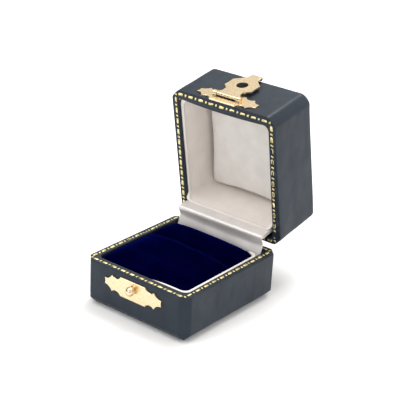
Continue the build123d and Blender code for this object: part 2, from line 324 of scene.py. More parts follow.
def inner_loop(tray, grow, z):
    half = tray.opening_half + grow
    front = tray.opening_front - grow
    rear = grow - tray.rear_band
    flat = outline(-half, half, front, rear, opening_corner(tray, grow))
    loop = []
    for point in flat:
        bow = bowed_front(tray, point.x) * smooth(front + 4, front, point.y)
        loop.append((point.x, point.y + bow, z))
    return loop


def between(first, second, share):
    return [tuple(Vector(a).lerp(Vector(b), share)) for a, b in zip(first, second)]


# ---- materials ----
WAVE_BANDS = 3.2          # how many bands the wave texture draws in one unit, at a scale of 1


class Finish:
    """A procedural material around one Principled shader. Sizes of patterns are in millimetres."""

    def __init__(self, name, **sockets):
        self.material = bpy.data.materials.new(name)
        self.material.use_nodes = True
        self.tree = self.material.node_tree
        self.shader = self.tree.nodes["Principled BSDF"]
        self.heights = []
        self.coordinates = self.tree.nodes.new("ShaderNodeTexCoord").outputs["Object"]
        for socket, value in sockets.items():
            self.shader.inputs[socket.replace("_", " ")].default_value = value

    def node(self, kind, inputs=(), **settings):
        made_node = self.tree.nodes.new(kind)
        for name, value in settings.items():
            setattr(made_node, name, value)
        for name, value in dict(inputs).items():
            if isinstance(value, bpy.types.NodeSocket):
                self.tree.links.new(value, made_node.inputs[name])
            else:
                made_node.inputs[name].default_value = value
        return made_node

    def stretched(self, stretch):
        if stretch == (1, 1, 1):
            return self.coordinates
        inputs = {"Vector": self.coordinates, "Scale": tuple(1 / amount for amount in stretch)}
        return self.node("ShaderNodeMapping", inputs).outputs[0]

    def clouds(self, size, detail=2.0, stretch=(1, 1, 1)):
        inputs = {"Vector": self.stretched(stretch), "Scale": 1 / (size * MM), "Detail": detail}
        return self.node("ShaderNodeTexNoise", inputs).outputs["Fac"]

    def cells(self, size, feature="F1"):
        inputs = {"Vector": self.coordinates, "Scale": 1 / (size * MM)}
        return self.node("ShaderNodeTexVoronoi", inputs, feature=feature).outputs["Distance"]

    def threads(self, size, direction, wander=0.6):
        scale = 1 / (size * MM) / WAVE_BANDS
        inputs = {"Vector": self.coordinates, "Scale": scale, "Distortion": wander}
        wave = self.node("ShaderNodeTexWave", inputs, bands_direction=direction)
        return wave.outputs["Fac"]

    def levels(self, value, low, high, start=0.0, end=1.0):
        inputs = {"Value": value, "From Min": low, "From Max": high, "To Min": start, "To Max": end}
        return self.node("ShaderNodeMapRange", inputs).outputs["Result"]

    def blended(self, share, first, second):
        blend = self.node("ShaderNodeMix", {"Factor": share}, data_type="RGBA")
        for name, value in (("A", first), ("B", second)):
            socket = [s for s in blend.inputs if s.name == name and s.type == "RGBA"][0]
            if isinstance(value, bpy.types.NodeSocket):
                self.tree.links.new(value, socket)
            else:
                socket.default_value = (*value, 1)
        return [s for s in blend.outputs if s.type == "RGBA"][0]

    def colour(self, value):
        self.tree.links.new(value, self.shader.inputs["Base Color"])

    def roughness(self, value, low, high):
        ranged = self.levels(value, 0.3, 0.7, low, high)
        self.tree.links.new(ranged, self.shader.inputs["Roughness"])

    def relief(self, height, depth):
        """Add a bump of that depth; later ones go on top of the earlier."""
        inputs = {"Height": height, "Distance": depth * MM, "Strength": 1.0}
        if self.heights:
            inputs["Normal"] = self.heights[-1]
        bump = self.node("ShaderNodeBump", inputs)
        self.heights.append(bump.outputs["Normal"])
        self.tree.links.new(bump.outputs["Normal"], self.shader.inputs["Normal"])


def leatherette(name, dark, light):
    """Fine pebbled grain, slow changes of tone, and soft rubbed patches."""
    finish = Finish(name, Specular_IOR_Level=0.25)
    tone = finish.clouds(9, 3)
    mottle = finish.clouds(0.5, 2)
    body = finish.blended(finish.levels(tone, 0.35, 0.65), dark, light)
    rubbed = finish.levels(mottle, 0.45, 0.8, 0.0, 0.35)
    finish.colour(finish.blended(rubbed, body, tuple(min(1, part * 1.6) for part in light)))
    finish.roughness(finish.clouds(4, 2, (1, 1, 3)), 0.36, 0.52)
    finish.relief(finish.clouds(7, 2), 0.10)
    finish.relief(finish.cells(0.55), 0.022)
    finish.relief(finish.clouds(0.18, 2), 0.012)
    return finish.material


def gold_foil():
    finish = Finish("gold_foil", Metallic=1.0)
    wear = finish.levels(finish.clouds(0.5, 4), 0.64, 0.72)
    tone = finish.blended(finish.clouds(1.6), (0.92, 0.72, 0.28), (1.0, 0.92, 0.52))
    finish.colour(finish.blended(wear, tone, (0.25, 0.17, 0.07)))
    finish.roughness(finish.clouds(0.7), 0.28, 0.5)
    finish.relief(finish.clouds(0.3, 3), 0.03)
    return finish.material


def velvet(name, dark, light):
    """A dense short pile, with no gloss and a blue bloom at grazing angles."""
    bloom = {"Sheen_Weight": 0.6, "Sheen_Roughness": 0.25, "Sheen_Tint": (0.01, 0.03, 0.6, 1)}
    finish = Finish(name, Roughness=0.95, Specular_IOR_Level=0.0, **bloom)
    brushed = finish.clouds(5, 3, (2, 1, 1))
    finish.colour(finish.blended(finish.levels(brushed, 0.35, 0.7), dark, light))
    finish.relief(finish.clouds(0.22, 2), 0.06)
    finish.relief(finish.clouds(2.5, 2), 0.05)
    return finish.material


def lining_cloth():
    finish = Finish("cream_lining", Sheen_Weight=0.15)
    tone = finish.levels(finish.clouds(8, 3), 0.3, 0.7)
    finish.colour(finish.blended(tone, (0.79, 0.73, 0.68), (0.85, 0.80, 0.76)))
    finish.roughness(finish.clouds(3), 0.5, 0.62)
    finish.relief(finish.clouds(5, 2), 0.10)
    finish.relief(finish.threads(0.22, "Z"), 0.006)
    finish.relief(finish.threads(0.2, "X"), 0.005)
    return finish.material


def satin(name, dark, light, roughness, weave, lustre):
    """Satin: fine warp threads along X. The lustre is how far it reflects as metal does."""
    finish = Finish(name, Sheen_Weight=0.08, Anisotropic=0.4, Metallic=lustre)
    tone = finish.levels(finish.clouds(6, 3), 0.3, 0.7)
    finish.colour(finish.blended(tone, dark, light))
    finish.roughness(finish.clouds(2.2, 2, (3, 1, 1)), roughness - 0.02, roughness + 0.03)
    finish.relief(finish.clouds(6, 1), 0.02)
    finish.relief(finish.threads(weave, "Z", 0.3), 0.005)
    finish.relief(finish.clouds(0.16, 1, (4, 1, 1)), 0.004)
    return finish.material


def brass():
    """Lacquered brass with the fine stippled face of stamped sheet."""
    finish = Finish("brass", Metallic=1.0)
    tone = finish.blended(finish.clouds(1.4, 4), (0.78, 0.60, 0.37), (0.86, 0.72, 0.49))
    pits = finish.levels(finish.cells(0.34), 0.55, 0.95)
    finish.colour(finish.blended(pits, tone, (0.66, 0.50, 0.28)))
    finish.roughness(finish.clouds(0.9, 3), 0.18, 0.34)
    finish.relief(finish.cells(0.34, "SMOOTH_F1"), 0.012)
    finish.relief(finish.clouds(0.16, 2), 0.006)
    return finish.material


def plated_steel():
    finish = Finish("plated_steel", Metallic=1.0)
    finish.colour(finish.blended(finish.clouds(2, 4), (0.50, 0.50, 0.50), (0.66, 0.65, 0.63)))
    finish.roughness(finish.clouds(0.4, 3, (20, 1, 1)), 0.25, 0.45)
    finish.relief(finish.clouds(0.3, 2, (30, 1, 1)), 0.01)
    return finish.material


def raw_wood():
    finish = Finish("raw_wood")
    grain = finish.clouds(1.2, 4, (12, 1, 1))
    finish.colour(finish.blended(grain, (0.42, 0.27, 0.14), (0.68, 0.50, 0.30)))
    finish.roughness(grain, 0.6, 0.8)
    finish.relief(grain, 0.05)
    return finish.material


def pasteboard():
    finish = Finish("pasteboard")
    finish.colour(finish.blended(finish.clouds(0.8, 4), (0.46, 0.41, 0.33), (0.62, 0.57, 0.48)))
    finish.roughness(finish.clouds(0.6), 0.8, 0.95)
    finish.relief(finish.clouds(0.3, 3), 0.02)
    return finish.material


def soft_foam():
    finish = Finish("soft_foam")
    finish.colour(finish.blended(finish.cells(0.6), (0.60, 0.56, 0.42), (0.82, 0.79, 0.68)))
    finish.roughness(finish.clouds(0.6), 0.85, 0.98)
    finish.relief(finish.cells(0.6), 0.15)
    return finish.material


def floor_paint():
    glow = {"Emission_Color": (1, 1, 1, 1), "Emission_Strength": FLOOR_GLOW}
    finish = Finish("studio_floor", Specular_IOR_Level=0.15, **glow)
    finish.colour(finish.blended(finish.clouds(60, 2), (0.93, 0.93, 0.93), (0.95, 0.95, 0.95)))
    finish.roughness(finish.clouds(20), 0.6, 0.7)
    return finish.material


NAVY = leatherette("navy_leatherette", (0.0105, 0.018, 0.028), (0.0155, 0.024, 0.037))
FOOT = leatherette("foot_paper", (0.012, 0.015, 0.022), (0.018, 0.022, 0.030))
GOLD = gold_foil()
VELVET = velvet("navy_velvet", (0.0001, 0.0001, 0.010), (0.0003, 0.0004, 0.018))
# a lighter copy of the velvet for the fold along the slot: painted sheen highlight on the crest
VELVET_PAINTED_SHEEN = velvet("navy_velvet_painted_sheen", (0.0008, 0.0016, 0.024), (0.0012, 0.0024, 0.038))
CREAM = lining_cloth()
HINGE_SATIN = satin("hinge_satin", (0.77, 0.735, 0.715), (0.83, 0.80, 0.78), 0.42, 0.14, 0.38)
CUSHION_SATIN = satin("cushion_satin", (0.67, 0.635, 0.60), (0.75, 0.72, 0.69), 0.44, 0.16, 0.0)
BRASS = brass()
STEEL = plated_steel()
WOOD = raw_wood()
CARD = pasteboard()
FOAM = soft_foam()

NODE_FINISHES = {
    "wood_carcass": WOOD,
    "navy_leatherette": NAVY,
    "foot_sheet": FOOT,
    "cream_lining": CREAM,
    "card": CARD,
    "foam": FOAM,
    "navy_velvet": VELVET,
    "brass": BRASS,
    "steel_hinge": STEEL,
    "hinge_satin": HINGE_SATIN,
    "cushion_satin": CUSHION_SATIN,
}


def finish_cad_nodes():
    for subpart in frame["record"]["subparts"]:
        node = frame["nodes"][subpart["node"]]
        for place in node.material_slots:
            place.material = NODE_FINISHES[subpart["material_slot"]]


# ---- leatherette ----
GROOVE_HALF = 0.75        # half the width of the groove pressed for the tooling
GROOVE_DEPTH = 0.09
TOOL_CORNER = 1.2         # the tooling's line is cut by this at each corner
WIDER = (0.2, 0.9)        # how much wider the box's right side is, at the front and at the hinge
UNEVEN_SIZE = 7.0         # about the distance from one dent to the next
EDGE_FOLD = 0.9           # how far down the opening's rounded edge reaches
HINGE_TURN_IN = 7.0       # how far down the leatherette goes beside the hinge


def uneven(loop, amount):
    """Move a loop's points slightly outwards or inwards, as leather glued over board lies."""
    moved = []
    for x, y, z in loop:
        push = noise.noise(Vector((x, y, z)) / UNEVEN_SIZE) * amount
        length = math.hypot(x, y - MIDDLE_Y) or 1
        moved.append((x + x / length * push, y + (y - MIDDLE_Y) / length * push, z))
    return moved


def widened(loop, side):
    """Move the side of the tray that is on the box's right outwards, most beside the hinge."""
    moved = []
    for x, y, z in loop:
        amount = mix(*WIDER, smooth(-52, -4, y))
        moved.append((x + side * amount * smooth(6, 16, side * x), y, z))
    return moved


def hinge_dip(tray, loop):
    """Press the rear rim down where the hinge leaf crosses it."""
    dipped = []
    for x, y, z in loop:
        beside = smooth(HINGE_HALF + 0.9, HINGE_HALF, abs(x))
        behind = smooth(-tray.rear_band - 1, -tray.rear_band - 0.2, y)
        dipped.append((x, y, mix(z, min(z, -SKIN + 0.05), beside * behind)))
    return dipped


def turned_depth(tray, y):
    """The leatherette goes deeper beside the hinge, where no lining covers the wood."""
    return mix(-tray.turn_in, -HINGE_TURN_IN, smooth(-8.6, -7.4, y))


def turned_in_loops(tray):
    """From the rim's inner edge down inside, and back up behind the leatherette."""
    edge = soft_path([(0.6, 0, 0), (0, 0, 0.55), (0, -EDGE_FOLD, 0)])
    loops = [inner_loop(tray, a, z) for a, z in edge]
    for share in (0.3, 0.6, 0.9, 1.0):
        row = inner_loop(tray, 0.0 if share < 1 else 0.25, 0)
        loops.append([(x, y, mix(-EDGE_FOLD, turned_depth(tray, y), share)) for x, y, z in row])
    behind = inner_loop(tray, SKIN, 0)
    loops.append([(x, y, turned_depth(tray, y)) for x, y, z in behind])
    loops.append(inner_loop(tray, SKIN, -SKIN))
    return loops


def groove(tray, x, y):
    """Depth of the groove pressed along the line of the tooling."""
    side = tray.half - abs(x)
    end = min(tray.depth + y, -y)
    corner = (side + end - TOOL_CORNER - 2 * TOOLING_INSET) / math.sqrt(2) + TOOLING_INSET
    away = abs(min(side, end, corner) - TOOLING_INSET)
    return GROOVE_DEPTH * smooth(GROOVE_HALF + 0.2, GROOVE_HALF - 0.1, away)


def rim_loops(tray):
    """Across the rim, with a shallow groove where the gold is tooled."""
    outside = outer_loop(tray, 0.45, 0)
    inside = inner_loop(tray, 0.7, 0)
    loops = []
    for number in range(RIM_STEPS + 1):
        loop = between(outside, inside, number / RIM_STEPS)
        loops.append([(x, y, -groove(tray, x, y)) for x, y, z in loop])
    return loops


def leather_skin(tray, underside, unevenness, right, closing):
    """From under the tray, up its outside, over the rim, down inside and back behind itself.

    The underside and closing rows are (inset, z). Without closing rows, the underside is open.
    """
    low = -tray.height
    path = soft_path(underside + [(0, 0, 0.5), (0.4, 0, 0)])
    loops = []
    for inset, z in path:
        outside = uneven(outer_loop(tray, inset, z), unevenness * smooth(-1, -4, z))
        loops.append(widened(outside, right))
    loops += rim_loops(tray) + turned_in_loops(tray)
    behind = [(SKIN, -SKIN), (SKIN, low + BEVEL + 0.25), (BEVEL + 0.25, low + SKIN)]
    loops += [outer_loop(tray, inset, z) for inset, z in behind + closing]
    points = [point for loop in loops for point in hinge_dip(tray, loop)]
    faces = loop_faces(loops, not closing)
    piece = made(tray.body + "_leather", in_row(tray.place, points), faces, NAVY, tray.body)
    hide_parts(tray.body + "_cover")


def base_leather():
    """Turned under the base's edge, and open at the middle of its underside."""
    low = -base.height
    foot = BEVEL + TURN_UNDER
    underside = [(foot, low + SKIN, 0), (foot, low, 0.2), (BEVEL, low, 0.4), (0, low + BEVEL, 0.5)]
    leather_skin(base, underside, 0.07, 1, [])


def lid_leather():
    """Closed over the lid's top, with a flat face in its middle."""
    low = -lid.height
    middle = lid.half - 4
    underside = [(middle, low, 0), (BEVEL, low, 0.6), (0, low + BEVEL, 0.8)]
    leather_skin(lid, underside, 0.08, -1, [(middle, low + SKIN)])


# ---- gold tooling ----
PITCH = 4.8               # one dash and one dot
DASH = 2.35
DOT = 0.8
TOOL_WIDTH = 1.15
FOIL = 0.07               # how far a patch stands above the groove
PATCH_POINTS = 14
SQUARE = 0.4              # below 1, a patch's ends are squarer than round


class Foil:
    """Collects thin patches of foil as one mesh."""

    def __init__(self, seed):
        self.points = []
        self.faces = []
        self.random = random.Random(seed)

    def patch(self, middle, along, length, width):
        """One worn patch with rounded ends, as a thin closed slab in the groove."""
        across = Vector((-along.y, along.x))
        start = len(self.points)
        rim = []
        for number in range(PATCH_POINTS):
            turn = 2 * math.pi * number / PATCH_POINTS
            a = math.copysign(abs(math.cos(turn)) ** SQUARE, math.cos(turn))
            b = math.copysign(abs(math.sin(turn)) ** SQUARE, math.sin(turn))
            far = length / 2 * a * self.random.uniform(0.92, 1.03)
            side = width / 2 * b * self.random.uniform(0.88, 1.06)
            rim.append(middle + along * (far + side * 0.2) + across * side)
        for z in (-GROOVE_DEPTH - 0.02, FOIL - GROOVE_DEPTH):
            self.points += [(point.x, point.y, z) for point in rim]
        low = [start + number for number in range(PATCH_POINTS)]
        high = [number + PATCH_POINTS for number in low]
        self.faces += [tuple(low), tuple(high)]
        for number in range(PATCH_POINTS):
            following = (number + 1) % PATCH_POINTS
            self.faces.append((low[number], low[following], high[following], high[number]))

    def hollow(self, middle, along, length, width):
        """A dash whose gold is left only round its edge."""
        across = Vector((-along.y, along.x))
        for side in (-1, 1):
            if self.random.random() < 0.9:
                edge = middle + across * side * width * 0.38
                self.patch(edge, along, length * 0.8, width * 0.28)
            if self.random.random() < 0.8:
                end = middle + along * side * length * 0.42
                self.patch(end, across, width * 0.7, length * 0.14)


def worn_share(tray, point):
    """How likely a dash is worn hollow: most on the lid's right edge and the base's left edge."""
    if tray is lid and point.x < -tray.opening_half:
        return 0.85 * smooth(-48, -38, point.y)
    if tray is base and point.x < -tray.opening_half:
        return 0.55 * smooth(-42, -14, point.y)
    return 0.0


def tooled_side(tray, foil, start, end):
    """Evenly spaced dashes along one side, with a dot between each two and at the start."""
    along = (end - start).normalized()
    length = (end - start).length
    repeats = round(length / PITCH)
    for number in range(repeats):
        for place, size in ((number, DOT), (number + 0.5, DASH)):
            middle = start + along * length * place / repeats
            middle += Vector((foil.random.uniform(-0.06, 0.06), foil.random.uniform(-0.06, 0.06)))
            if middle.y > -tray.rear_band and abs(middle.x) < HINGE_HALF + 1.6:
                continue
            width = TOOL_WIDTH * foil.random.uniform(0.9, 1.05)
            if size == DASH and foil.random.random() < worn_share(tray, middle):
                foil.hollow(middle, along, size, width)
            else:
                foil.patch(middle, along, size * foil.random.uniform(0.92, 1.04), width)


def tooling(tray, seed):
    """Dashes and dots all round the rim, turning each corner over a short cut."""
    foil = Foil(seed)
    half = tray.half - TOOLING_INSET
    front = TOOLING_INSET - tray.depth
    rear = -TOOLING_INSET
    tips = [(-half, rear), (-half, front), (half, front), (half, rear)]
    corners = [Vector(tip) for tip in tips]
    inner = TOOL_CORNER / 2
    for number, corner in enumerate(corners):
        following = corners[(number + 1) % 4]
        along = (following - corner).normalized()
        before = (corner - corners[number - 1]).normalized()
        turned = corner + (along - before) * inner
        tooled_side(tray, foil, turned, following - along * inner)
    points = in_row(tray.place, foil.points)
    piece = made(tray.body + "_tooling", points, foil.faces, GOLD, tray.body)


# ---- linings ----
LINING_BACK = 0.45        # how far behind the edge of the opening a lining reaches


def lining_loop(x0, x1, y0, y1, radius, z):
    flat = outline(x0, x1, y0, y1, round_corner(radius))
    return [(point.x, point.y, z) for point in flat]


def lining_piece(tray, loops, rear, radius, foot, top):
    """Close the lining's face with a flat back, from its foot up to its top."""
    half = tray.opening_half + LINING_BACK
    front = tray.opening_front - LINING_BACK
    for z in (foot, top):
        loops.append(lining_loop(-half, half, front, rear, radius, z))
    points = in_row(tray.place, [point for loop in loops for point in loop])
    piece = made(tray.body + "_lining_cloth", points, loop_faces(loops, True), CREAM, tray.body)
    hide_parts(tray.body + "_lining")


def lid_lining():
    """A padded lip under the turned-in leatherette, then walls that lean in to the cushion."""
    radius = 3.0
    foot = -21.0
    top = -2.6
    path = soft_path([
        (-0.05, top, 0),
        (-0.05, -1.45, 0.3),
        (0.85, -1.45, 0.34),
        (0.95, -2.3, 0.3),
        (0.6, -2.8, 0.2),
        (1.05, -8, 0.5),
        (1.3, foot, 0),
    ], longest=2.0)
    loops = []
    for inset, z in path:
        half = lid.opening_half - inset
        front = lid.opening_front + inset
        rear = -6.52 - 0.45 * inset
        loop = []
        for x, y, height in lining_loop(-half, half, front, rear, radius, z):
            bow = bowed_front(lid, x) * smooth(-48, -52, y) * smooth(-14, -2, z)
            rise = 2.3 * smooth(-9.5, -7.2, y) * smooth(-8, -2, z)
            sag = 0.12 * noise.noise(Vector((x, y, z)) / 9) * smooth(-2, -6, z)
            loop.append((x + sag, y + bow + sag, height + rise))
        loops.append(loop)
    lining_piece(lid, loops, -6.32, radius, foot, top)


def base_lining():
    """A lip that is plump on the right and thins away along the front towards the left.

    On the left the lining is tucked down behind the pad instead of standing at the rim.
    """
    radius = 2.6
    foot = -15.0
    path = soft_path([
        (0.05, -3.0, 0),
        (0.05, 0, 0.4),
        (1.3, 0, 0.6),
        (1.45, -4, 0.5),
        (1.45, foot, 0),
    ], longest=2.0)
    loops = []
    for inset, z in path:
        left = -base.opening_half + 0.3 * inset
        right = base.opening_half - inset
        front = base.opening_front + inset
        rear = -7.5 - 0.42 * inset
        loop = []
        for x, y, height in lining_loop(left, right, front, rear, radius, z):
            standing = smooth(-16, 14, x)
            thin = (1 - standing) * 0.72 * inset * smooth(-44, -50, y)
            top = mix(-2.5, -0.2, standing)
            top = mix(top, -4.6, smooth(-9.0, -7.8, y) * smooth(17.5, 15, x))
            drop = top * smooth(-4.5, -0.5, z)
            loop.append((x, y - thin, height + drop))
        loops.append(loop)
    lining_piece(base, loops, -7.1, radius, foot, -3.4)


# ---- padded pieces ----
SIM_SCALE = 40            # the cloth solver works on a large copy
SIM_FRAMES = 20


@dataclass
class Padding:
    """A cloth cover over foam, with lengths in millimetres."""
    material: bpy.types.Material
    detail: float         # the finest detail of its mesh
    pinned_below: float   # points lower than this stay put
    pressure: float       # of the foam in the cover
    slack: float          # how much larger the cover is than its pattern
    cap: float            # the furthest a point may move


VELVET_PAD = Padding(VELVET, 0.5, -6.0, 4.0, 0.0, 0.3)
SATIN_PAD = Padding(CUSHION_SATIN, 0.8, -20.0, 5.0, 0.03, 0.8)


def remeshed(piece, detail):
    """Replace the piece's mesh with an even one, smoothed of its steps."""
    modifier = piece.modifiers.new("even", "REMESH")
    modifier.mode = "VOXEL"
    modifier.voxel_size = detail
    apply_modifiers(piece)
    solid = bmesh.new()
    solid.from_mesh(piece.data)
    for step in range(3):
        bmesh.ops.smooth_vert(
            solid, verts=solid.verts, factor=0.5,
            use_axis_x=True, use_axis_y=True, use_axis_z=True,
        )
    solid.to_mesh(piece.data)
    solid.free()


def apply_modifiers(piece):
    bpy.context.view_layer.update()
    graph = bpy.context.evaluated_depsgraph_get()
    final = bpy.data.meshes.new_from_object(piece.evaluated_get(graph))
    piece.modifiers.clear()
    old = piece.data
    piece.data = final
    bpy.data.meshes.remove(old)


def puffed(piece, padding):
    """Blow the large copy up as a cloth cover over foam."""
    scale = MM * SIM_SCALE
    cap = padding.cap * scale
    pinned_below = padding.pinned_below * scale
    start = [vertex.co.copy() for vertex in piece.data.vertices]
    pins = piece.vertex_groups.new(name="pins")
    held = [vertex.index for vertex in piece.data.vertices if vertex.co.z < pinned_below]
    pins.add(held, 1.0, "REPLACE")
    cloth = piece.modifiers.new("cloth", "CLOTH")
    cloth.settings.quality = 6
    cloth.settings.mass = 0.3
    cloth.settings.use_pressure = True
    cloth.settings.uniform_pressure_force = padding.pressure
    cloth.settings.effector_weights.gravity = 0
    cloth.settings.shrink_min = -padding.slack
    cloth.settings.vertex_group_mass = "pins"
    cloth.settings.tension_stiffness = 15
    cloth.settings.compression_stiffness = 15
    cloth.settings.bending_stiffness = 0.5
    cloth.collision_settings.use_collision = False
    cloth.collision_settings.use_self_collision = False
    cloth.point_cache.frame_start = 1
    cloth.point_cache.frame_end = SIM_FRAMES
    scene = bpy.context.scene
    for number in range(1, SIM_FRAMES + 1):
        scene.frame_set(number)
    apply_modifiers(piece)
    scene.frame_set(1)
    for vertex, rest in zip(piece.data.vertices, start):
        move = vertex.co - rest
        if move.length > cap:
            vertex.co = rest + move.normalized() * cap
    piece.vertex_groups.clear()


def padded_piece(name, tray, rows, low, padding):
    """A pad from rows of (x, y, top) down to a flat underside at low, puffed and placed."""
    points = [point for row in rows for point in row]
    points += [(x, y, low) for x, y, top in points]
    grown = [Vector(point) * MM * SIM_SCALE for point in points]
    piece = made(name, grown, slab_faces(len(rows), len(rows[0])), padding.material)
    remeshed(piece, padding.detail * MM * SIM_SCALE)
    puffed(piece, padding)
    smoothing = piece.modifiers.new("smoothing", "SUBSURF")
    smoothing.levels = 1
    smoothing.render_levels = 1
    apply_modifiers(piece)
    piece.data.transform(tray.place @ Matrix.Scale(1 / SIM_SCALE, 4))
    for face in piece.data.polygons:
        face.use_smooth = True
    piece.data.materials.clear()
    piece.data.materials.append(padding.material)
    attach(piece, tray.body)
    return piece


# ---- velvet rolls in the base ----
SLOT = (-22.3, -23.6)     # the slot's left and right ends
SLOT_HALF = 0.2
SLOT_DIP = 2.4            # how far the rear roll's top falls away into the slot
SLOT_REACH = 2.0          # how gradually it falls
FOLD_RADIUS = 0.35        # the fold of velvet along the slot's front edge
FOLD_STEPS = 60
FOLD_POINTS = 10
PAD_LEFT = -21.5
PAD_RIGHT = 20.2
PAD_FRONT = -51.2
PAD_REAR = -7.2
PAD_LOW = -9.0
PAD_EDGES = (-0.7, -1.5)  # the pad's height at its left and right edges, from the rim
PAD_CROWN = 2.6
PAD_CORNER = 3.2
ROLL_ROWS = 60
ROLL_COLUMNS = 84


def pad_top(x, y, behind_slot):
    """One crown runs over both rolls, arched at the rear. The rear roll dips at the slot."""
    u = 2 * (x - PAD_LEFT) / (PAD_RIGHT - PAD_LEFT) - 1
    v = 2 * (y - PAD_FRONT) / (PAD_REAR - PAD_FRONT) - 1
    lengthwise = max(0, 1 - abs(v) ** 2.6) ** 0.55 if v < 0 else 1 - 0.35 * v ** 3
    crosswise = max(0, 1 - abs(u) ** 2.8) ** 0.55
    slot = mix(*SLOT, (u + 1) / 2)
    dip = SLOT_DIP * math.exp(-((y - slot) / SLOT_REACH) ** 2) if behind_slot else 0.0
    return mix(*PAD_EDGES, (u + 1) / 2) + PAD_CROWN * crosswise * lengthwise - dip


def corner_inset(y):
    """How far the pad's rounded corners draw its sides in."""
    from_end = max(0.0, min(y - PAD_FRONT, PAD_REAR - y, PAD_CORNER))
    return PAD_CORNER - math.sqrt(PAD_CORNER ** 2 - (PAD_CORNER - from_end) ** 2)


def velvet_roll(name, front, rear, covers):
    """A roll between its front and rear edges, each given as y at its left and right ends."""
    rows = []
    for row in range(ROLL_ROWS + 1):
        down = row / ROLL_ROWS
        inset = corner_inset(mix(front[0], rear[0], down))
        line = []
        for column in range(ROLL_COLUMNS + 1):
            across = column / ROLL_COLUMNS
            x = mix(PAD_LEFT + inset, PAD_RIGHT - inset, across)
            y = mix(mix(*front, across), mix(*rear, across), down)
            line.append((x, y, pad_top(x, y, rear[0] == PAD_REAR)))
        rows.append(line)
    piece = padded_piece(name, base, rows, PAD_LOW, VELVET_PAD)
    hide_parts(*covers)
    return piece


def front_roll():
    front = (PAD_FRONT, PAD_FRONT + 0.6)
    rear = (SLOT[0] - SLOT_HALF, SLOT[1] - SLOT_HALF)
    return velvet_roll("front_velvet_roll", front, rear, ("front_roll_velvet", "front_roll_foam"))


def slot_fold(roll):
    """The velvet is folded at the slot. The fold is made of a lighter copy of the velvet, a painted highlight for
    the sheen along its crest.
    """
    tops = [base.place.inverted() @ vertex.co / MM for vertex in roll.data.vertices]
    loops = []
    for number in range(FOLD_STEPS + 1):
        share = number / FOLD_STEPS
        x = mix(PAD_LEFT + 0.9, PAD_RIGHT - 0.9, share)
        y = mix(*SLOT, share) - SLOT_HALF - FOLD_RADIUS
        near = [top.z for top in tops if abs(top.x - x) < 0.5 and abs(top.y - y) < 0.5]
        z = max(near) - 0.4 * FOLD_RADIUS
        radius = FOLD_RADIUS * min(1, 0.2 + 8 * min(share, 1 - share))
        loop = []
        for step in range(FOLD_POINTS):
            turn = 2 * math.pi * step / FOLD_POINTS
            loop.append((x, y + radius * math.cos(turn), z + radius * math.sin(turn)))
        loops.append(loop)
    points = in_row(base.place, [point for loop in loops for point in loop])
    # the fold's lighter velvet is a painted sheen highlight
    made("front_velvet_fold", points, loop_faces(loops, False), VELVET_PAINTED_SHEEN, "base")


def rear_roll():
    front = (SLOT[0] + SLOT_HALF, SLOT[1] + SLOT_HALF)
    rear = (PAD_REAR, PAD_REAR)
    velvet_roll("rear_velvet_roll", front, rear, ("rear_roll_velvet", "rear_roll_foam"))


# ---- satin cushion in the lid ----
CUSHION_EDGES = (-20.1, 20.4, -50.6, -7.3)
CUSHION_LOW = -21.5
CUSHION_EDGE_TOP = -17.6
CUSHION_CROWN = 3.2
CUSHION_PINCH = 0.35      # how far its sides are drawn in between the corners
CUSHION_COLUMNS = 40
CUSHION_ROWS = 30


def cushion_point(u, v):
    """The cushion's surface, for u and v from -1 to 1. It is higher towards the hinge."""
    x0, x1, y0, y1 = CUSHION_EDGES
    side = CUSHION_PINCH * (1 - v * v)
    end = CUSHION_PINCH * (1 - u * u)
    x = mix(x0 + side, x1 - side, (u + 1) / 2)
    y = mix(y0 + end, y1 - end, (v + 1) / 2)
    crown = max(0.0, 1 - abs(u) ** 4) ** 0.5 * max(0.0, 1 - abs(v) ** 3.4) ** 0.5
    tufts = 0.3 * noise.noise(Vector((u * 2.3, v * 2.1, 4.0)))
    tilt = 0.6 * (v + 1)
    return x, y, CUSHION_EDGE_TOP + CUSHION_CROWN * crown + tufts + tilt


def lid_cushion():
    rows = []
    across = [2 * column / CUSHION_COLUMNS - 1 for column in range(CUSHION_COLUMNS + 1)]
    for row in range(CUSHION_ROWS + 1):
        v = 2 * row / CUSHION_ROWS - 1
        rows.append([cushion_point(u, v) for u in across])
    piece = padded_piece("lid_cushion", lid, rows, CUSHION_LOW, SATIN_PAD)
    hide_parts("lid_cushion_satin", "lid_cushion_foam")


# ---- satin over the hinge ----
WRAP = 0.05               # how far the satin stands off the flap's board
WRAP_TURN = 0.4           # how far it is turned over the top
RIBBON = 0.2              # thickness
RIBBON_COLUMNS = 84
RIBBON_PATH = [           # (y, z, reach of rounding) in the row frame, from the lid to the base
    (30.6, 26.5, 0),
    (28.6, 26.1, 0.8),
    (22.3, 25.2, 1.9),
    (24.3, 21.7, 1.5),
    (22.9, 17.6, 2.0),
    (22.3, 14.0, 1.2),
    (21.4, 9.6, 0),
]


def skirt_wrap():
    """Satin glued round the stiff flap of the lid."""
    low, high = lid_box("skirt_board")
    x0, x1 = low.x - WRAP, high.x + WRAP
    y0, y1 = low.y - WRAP, high.y + WRAP
    top = high.z + WRAP
    loops = []
    for inset, z in soft_path([(0, low.z - WRAP, 0), (0, top, 0.3), (WRAP_TURN, top, 0)]):
        loops.append(lining_loop(x0 + inset, x1 - inset, y0 + inset, y1 - inset, 0.3, z))
    points = in_row(lid.place, [point for loop in loops for point in loop])
    piece = made("skirt_wrap", points, loop_faces(loops, False), HINGE_SATIN, "lid")
    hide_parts("skirt_satin")


def lid_box(node):
    """The lowest and highest corners of a lid node in the lid's tray frame, in millimetres."""
    back = lid.place.inverted()
    corners = [back @ vertex.co / MM for vertex in frame["nodes"][node].data.vertices]
    low = Vector([min(point[axis] for point in corners) for axis in range(3)])
    high = Vector([max(point[axis] for point in corners) for axis in range(3)])
    return low, high


